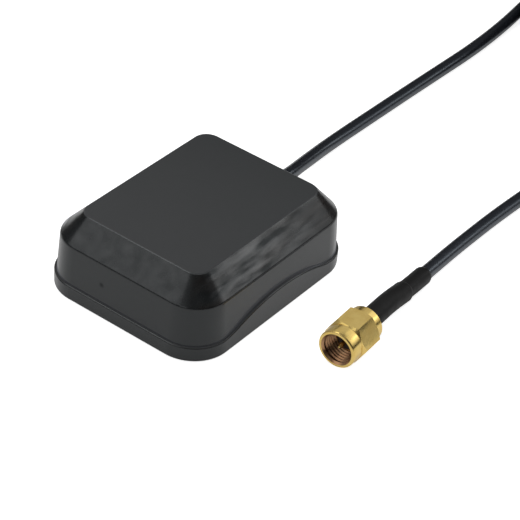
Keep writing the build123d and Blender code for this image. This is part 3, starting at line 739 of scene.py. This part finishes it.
gold = mottled(
    "gold_plate", gold_deep, gold_pale, (0.26, 0.15), metallic=1.0, scale=420.0, depth=0.004
)
dress(gold, "plug_body", "contact_pin", "crimp_ferrule")
# The insulator, deep in the plug's mouth, is painted dark brown: painted shade in place of its own
# pale colour
insulator_painted_shade = mottled("plug_insulator", (0.05, 0.032, 0.026), (0.08, 0.052, 0.042), (0.4, 0.6))
dress(insulator_painted_shade, "plug_insulator")
dress(mottled("silicone", (0.3, 0.05, 0.03), (0.36, 0.07, 0.04), (0.4, 0.6)), "plug_gasket")
bronze = mottled("spring_bronze", (0.55, 0.33, 0.16), (0.66, 0.42, 0.22), (0.25, 0.4), metallic=1.0)
dress(bronze, "retaining_ring")

# THE COUPLING NUT
# A free-turning nut from hexagonal brass bar: a turned collar in front, six flats chamfered at both
# ends, and a thread cut inside the mouth. Its long section is followed right round the axis.
nut_ring = 3.85
nut_ring_round = 0.3
nut_apothem = 4.0
hex_front = 2.65
nut_length = 8.1
cone_foot = 3.643
cone_slope = 1.366
chamfer_slope = 1.733
corner_sharpness = 130.0
thread_pitch = 0.7056
thread_depth = 0.32
thread_bore = 2.85
thread_start = 0.4
thread_end = 5.3
thread_runout = 0.3
thread_turns = 9
mouth = 3.25
column_offsets = (-30, -23, -16, -10, -6, -3.5, -2, -1, 0, 1, 2, 3.5, 6, 10, 16, 23)
corner_steps = 4
behind_thread = [(8.1, 2.7), (7.7, 2.7), (7.7, 3.05), (6.9, 3.05), (6.9, 2.7), (6.3, 2.7)]
behind_thread += [(6.3, 3.2), (5.3, 3.2), (5.3, 2.85)]
thread_form = ((0.0, 0.0), (0.14, 0.0), (0.5, 1.0), (0.64, 1.0))

# The thread and the groove behind it are painted a darker brown: painted shade, as there the gold
# mirrors little but itself
thread_painted_shade = ((0.24, 0.115, 0.06), (0.5, 0.3, 0.16), (0.22, 0.36))
shaded_rows_behind = 4


def hex_radius(angle):
    """How far the hexagon's side is from the axis, with its corners a little worn."""
    total = 0.0
    for side in range(6):
        facing = math.cos(angle - math.pi / 2 - side * math.pi / 3)
        if facing > 0:
            total += (facing / nut_apothem) ** corner_sharpness
    return total ** (-1 / corner_sharpness)


def nut_column(angle):
    """The nut's long section at one angle, as (place from its front, distance from the axis)."""
    side = hex_radius(angle)
    column = [(0.0, mouth)]
    for step in range(corner_steps + 1):
        bend = math.pi / 2 * step / corner_steps
        along = nut_ring_round * (1 - math.cos(bend))
        column.append((along, nut_ring - nut_ring_round * (1 - math.sin(bend))))
    column.append((hex_front + (nut_ring - cone_foot) / cone_slope, nut_ring))
    column.append((hex_front + (side - cone_foot) / cone_slope, side))
    column.append((nut_length - (side - nut_apothem) / chamfer_slope, side))
    column.append((nut_length, nut_apothem))
    column += behind_thread
    rows = []
    for turn in range(thread_turns):
        for share, depth in thread_form:
            along = thread_start + (turn + share - angle / (2 * math.pi)) * thread_pitch
            along = min(max(along, thread_start), thread_end)
            ends = min(along - thread_start, thread_end - along) / thread_runout
            rows.append((along, thread_bore + thread_depth * depth * eased(ends)))
    column += reversed(rows)
    return column


angles = [math.radians(60 * side + offset) for side in range(6) for offset in column_offsets]
first_angle = angles[0]
angles = [angle - first_angle for angle in angles] + [2 * math.pi]
form = bmesh.new()
columns = []
for angle in angles:
    column = []
    for along, distance in nut_column(angle):
        arm = plug_side * math.cos(angle) + Vector((0.0, 0.0, math.sin(angle)))
        column.append(form.verts.new(nose + (plug_back * along + arm * distance) * MM))
    columns.append(column)
rows = len(columns[0])
shade_from = rows - len(thread_form) * thread_turns - shaded_rows_behind
for number, face in enumerate(joined_rings(form, columns)):
    face.material_index = int(number % rows >= shade_from)
face_out(form)
nut_mesh = bpy.data.meshes.new("screw_nut")
form.to_mesh(nut_mesh)
form.free()
nut_mesh.set_sharp_from_angle(angle=math.radians(28))
nut_mesh.materials.append(gold)
nut_mesh.materials.append(mottled("gold_thread_painted_shade", *thread_painted_shade, metallic=1.0, scale=700.0))
nut = bpy.data.objects.new("screw_nut", nut_mesh)
scene.collection.objects.link(nut)
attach(nut, "nut")
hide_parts("coupling_nut")

# THE SLEEVES
# Two lengths of black heat-shrink tube: a thin one over the crimp's end and the cable, and a wide
# one over that up to the plug's collar. Both have shrunk on to what they cover, a little unevenly.
collar_back = 10.4
crimp_back = 16.6
strip_end = 15.4
axis_steps = 8
lip_reach = 0.03
lip_radius = 0.93
crease_scale = 420.0
crease_depth = 0.05
sleeve_rings = 60
sleeve_sides = 48

# For each sleeve: start and end behind the nose, outer radius, wall, seed, the node it stands for
sleeve_sizes = {
    "wide_sleeve": (collar_back, 24.6, 2.1, 0.2, 5, "heat_shrink_outer"),
    "thin_sleeve": (crimp_back, 32.2, 1.85, 0.36, 11, "heat_shrink_inner"),
}

# A tube along a path, a little creased all over and drawn in at its ends, with a wall inside
sheath, given, result = shape_tree(
    "sheath",
    {
        "Radius": ("Float", 2.0 * MM),
        "Wall": ("Float", 0.2 * MM),
        "Rings": ("Int", sleeve_rings),
        "Sides": ("Int", sleeve_sides),
        "Crease": ("Float", crease_depth * MM),
        "Seed": ("Float", 1.0),
        "Material": ("Material", None),
    },
)
line = add(sheath, "GeometryNodeMeshToCurve", {"Mesh": given["Path"]}).outputs[0]
even = {"Curve": line, "Count": given["Rings"]}
line = add(sheath, "GeometryNodeResampleCurve", even).outputs[0]
along = add(sheath, "GeometryNodeSplineParameter").outputs["Factor"]
from_end = maths(sheath, "MINIMUM", along, maths(sheath, "SUBTRACT", 1.0, along))
lip = ramp(sheath, from_end, 0.0, lip_reach, lip_radius, 1.0)
circle = {"Resolution": given["Sides"], "Radius": given["Radius"]}
circle = add(sheath, "GeometryNodeCurvePrimitiveCircle", circle).outputs[0]
body = {"Curve": line, "Profile Curve": circle, "Scale": lip}
body = add(sheath, "GeometryNodeCurveToMesh", body).outputs[0]
where = add(sheath, "GeometryNodeInputPosition").outputs[0]
creased = {"Vector": where, "W": given["Seed"], "Scale": crease_scale, "Detail": 2.0}
creased = add(sheath, "ShaderNodeTexNoise", creased, noise_dimensions="4D").outputs["Fac"]
swell = maths(sheath, "MULTIPLY", maths(sheath, "SUBTRACT", creased, 0.5), given["Crease"])
outward = add(sheath, "GeometryNodeInputNormal").outputs[0]
push = {0: outward, "Scale": swell}
push = add(sheath, "ShaderNodeVectorMath", push, operation="SCALE").outputs[0]
body = add(sheath, "GeometryNodeSetPosition", {"Geometry": body, "Offset": push}).outputs[0]
wall = maths(sheath, "MULTIPLY", given["Wall"], -1.0)
lining = {"Mesh": body, "Offset Scale": wall, "Individual": False}
lining = add(sheath, "GeometryNodeExtrudeMesh", lining).outputs[0]
lining = add(sheath, "GeometryNodeFlipFaces", {"Mesh": lining}).outputs[0]
joined = add(sheath, "GeometryNodeJoinGeometry")
sheath.links.new(lining, joined.inputs[0])
sheath.links.new(body, joined.inputs[0])
body = {"Geometry": joined.outputs[0], "Distance": double_reach}
body = add(sheath, "GeometryNodeMergeByDistance", body).outputs[0]
sheath.links.new(finished(sheath, body, given["Material"]), result)

# The cable's own line, from the plug's end, which the sleeves follow
bare = cable.data.copy()
bare.bevel_depth = 0.0
spare = bpy.data.objects.new("bare line", bare)
centre_line = [point.co.copy() for point in bpy.data.meshes.new_from_object(spare).vertices]
centre_line.reverse()
bpy.data.objects.remove(spare)


def plug_path(start, end):
    """Points along the plug's axis and on along the cable, between two places behind the nose."""
    path = []
    for step in range(axis_steps if start < strip_end else 0):
        along = start + (strip_end - start) * step / axis_steps
        path.append(nose + plug_back * along * MM)
    place = strip_end * MM
    for before, after in zip(centre_line, centre_line[1:]):
        if start * MM <= place <= end * MM:
            path.append(before)
        place += (after - before).length
        if place > end * MM:
            break
    return path


# The shrunk tube is a dull black with an uneven shine
sleeve, shader = finish("sleeve_black", (0.0075, 0.0075, 0.0075), 0.5)
slant_shine(sleeve, shader, level=0.22)
shine = place_group(sleeve, mottle, Scale=500.0, Contrast=1.6)
rough = ramp(sleeve.node_tree, shine, 0.0, 1.0, low=0.42, high=0.6)
link(sleeve, rough, shader, "Roughness")
bump(sleeve, place_group(sleeve, mottle, Scale=1500.0), shader, distance=0.02 * MM)
for name, (start, end, radius, wall, seed, packed) in sleeve_sizes.items():
    tube = grow(
        name,
        sheath,
        [plug_path(start, end)],
        Radius=radius * MM,
        Wall=wall * MM,
        Seed=float(seed),
        Material=sleeve,
    )
    tube.data.set_sharp_from_angle(angle=math.radians(40))
    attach(tube, "antenna")
    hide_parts(packed)

# The imported pieces that lie on the cable, listed by name
plug_nodes = ["plug_body", "contact_pin", "plug_insulator", "retaining_ring", "plug_gasket"]
plug_nodes += ["crimp_ferrule", "plug_braid", "plug_core", "plug_conductor"]

# THE TABLE AND THE LIGHT
# A plain white table that runs out to a white background, under large soft lamps. Shiny faces
# mirror it at the lower glow, so that black parts stay as dark as they are in the photo.
table_half = 1.5
table_glow = 0.85
table_glow_mirrored = 0.28
floor_mesh = bpy.data.meshes.new("floor")
form = bmesh.new()
bmesh.ops.create_grid(form, x_segments=2, y_segments=2, size=table_half)
form.to_mesh(floor_mesh)
form.free()
floor = bpy.data.objects.new("floor", floor_mesh)
scene.collection.objects.link(floor)
table_white, shader = finish("table_white", (0.8, 0.8, 0.8), 0.9, Specular_IOR_Level=0.0)
tree = table_white.node_tree
ray = add(tree, "ShaderNodeLightPath").outputs
straight = maths(tree, "MAXIMUM", ray["Is Camera Ray"], ray["Is Transmission Ray"])
glow = maths(tree, "MULTIPLY", straight, table_glow)
mirrored = maths(tree, "MULTIPLY", ray["Is Glossy Ray"], table_glow_mirrored)
glow = maths(tree, "ADD", glow, mirrored)
glow = add(tree, "ShaderNodeEmission", {"Color": (1, 1, 1, 1), "Strength": glow})
both = add(tree, "ShaderNodeAddShader", {0: shader.outputs[0], 1: glow.outputs[0]})
tree.links.new(both.outputs[0], tree.nodes["Material Output"].inputs["Surface"])
floor_mesh.materials.append(table_white)

# The room is dim low down and paler overhead. Two dark flags hang in it: one darkens the front
# corner's bevel, the other the upper side of the cables. Flags: direction, where they start and end
room_stops = ((0.3, (0.06, 0.06, 0.06)), (0.48, (0.24, 0.24, 0.25)), (0.9, (0.4, 0.4, 0.4)))
flags = (((0.586, -0.379, 0.72), 0.8, 0.93), ((-0.342, 0.657, 0.672), 0.72, 0.86))
flag_left = 0.3
world = bpy.data.worlds.new("studio")
scene.world = world
world.use_nodes = True
tree = world.node_tree
way = add(tree, "ShaderNodeTexCoord").outputs["Generated"]
rise = add(tree, "ShaderNodeSeparateXYZ", {0: way}).outputs["Z"]
room = add(tree, "ShaderNodeValToRGB", {"Fac": rise})
stops = room.color_ramp.elements
stops.new(room_stops[2][0])
for stop, (height, grey) in zip(stops, room_stops):
    stop.position = height
    stop.color = (*grey, 1.0)
room = room.outputs["Color"]
for direction, start, end in flags:
    towards = add(tree, "ShaderNodeVectorMath", {0: way, 1: direction}, operation="DOT_PRODUCT")
    shade = ramp(tree, towards.outputs["Value"], start, end, 1.0, flag_left)
    dimmed = {0: room, "Scale": shade}
    room = add(tree, "ShaderNodeVectorMath", dimmed, operation="SCALE").outputs[0]
seen = add(tree, "ShaderNodeLightPath").outputs["Is Camera Ray"]
shown = add(tree, "ShaderNodeMix", {"Factor": seen, 7: (1, 1, 1, 1)}, data_type="RGBA")
tree.links.new(room, shown.inputs[6])
tree.links.new(shown.outputs[2], tree.nodes["Background"].inputs["Color"])
tree.nodes["Background"].inputs["Strength"].default_value = 1.0


def lamp(name, turn, height, wide, tall, brightness, distance=1.0, about=view_target):
    """A soft box that faces a point from a direction, given as a turn from -Y towards +X."""
    data = bpy.data.lights.new(name, "AREA")
    data.shape = "RECTANGLE"
    data.size = wide
    data.size_y = tall
    data.energy = brightness * math.pi * wide * tall
    made = bpy.data.objects.new(name, data)
    turn, height = math.radians(turn), math.radians(height)
    flat = math.cos(height)
    away = Vector((flat * math.sin(turn), -flat * math.cos(turn), math.sin(height)))
    aimed = away.to_track_quat("Z", "Y").to_matrix().to_4x4()
    made.matrix_world = Matrix.Translation(about + away * distance) @ aimed
    made.visible_camera = False
    scene.collection.objects.link(made)
    return made


# The big one overhead lights the table and whatever faces up, and shiny faces don't mirror it
overhead = lamp("overhead lamp", turn=180.0, height=80.0, wide=0.8, tall=0.6, brightness=1.6)
overhead.visible_glossy = False

# These stand in front of the housing, whose front bevel mirrors the larger one
lamp("front left lamp", turn=-34.0, height=34.0, wide=0.7, tall=0.65, brightness=0.95)
lamp("front lamp", turn=4.0, height=23.0, wide=0.35, tall=0.16, brightness=1.3)

# The right bevel mirrors these, and the strip is behind the long light on the cables
lamp("back right lamp", turn=135.0, height=22.0, wide=0.4, tall=0.36, brightness=0.62)
lamp("back right spot", turn=141.0, height=32.0, wide=0.16, tall=0.14, brightness=1.0)
lamp("back strip", turn=156.0, height=22.0, wide=0.36, tall=0.16, brightness=1.9)

# Two small cards close to the plug, for the lights on its gold
card = {"distance": 0.09, "about": nose}
lamp("near card", turn=198.0, height=44.0, wide=0.3, tall=0.045, brightness=0.55, **card)
lamp("near right card", turn=154.0, height=43.0, wide=0.06, tall=0.05, brightness=0.45, **card)

# One high on the left, for all that faces that way
lamp("left lamp", turn=-90.0, height=62.0, wide=0.6, tall=0.3, brightness=2.4)
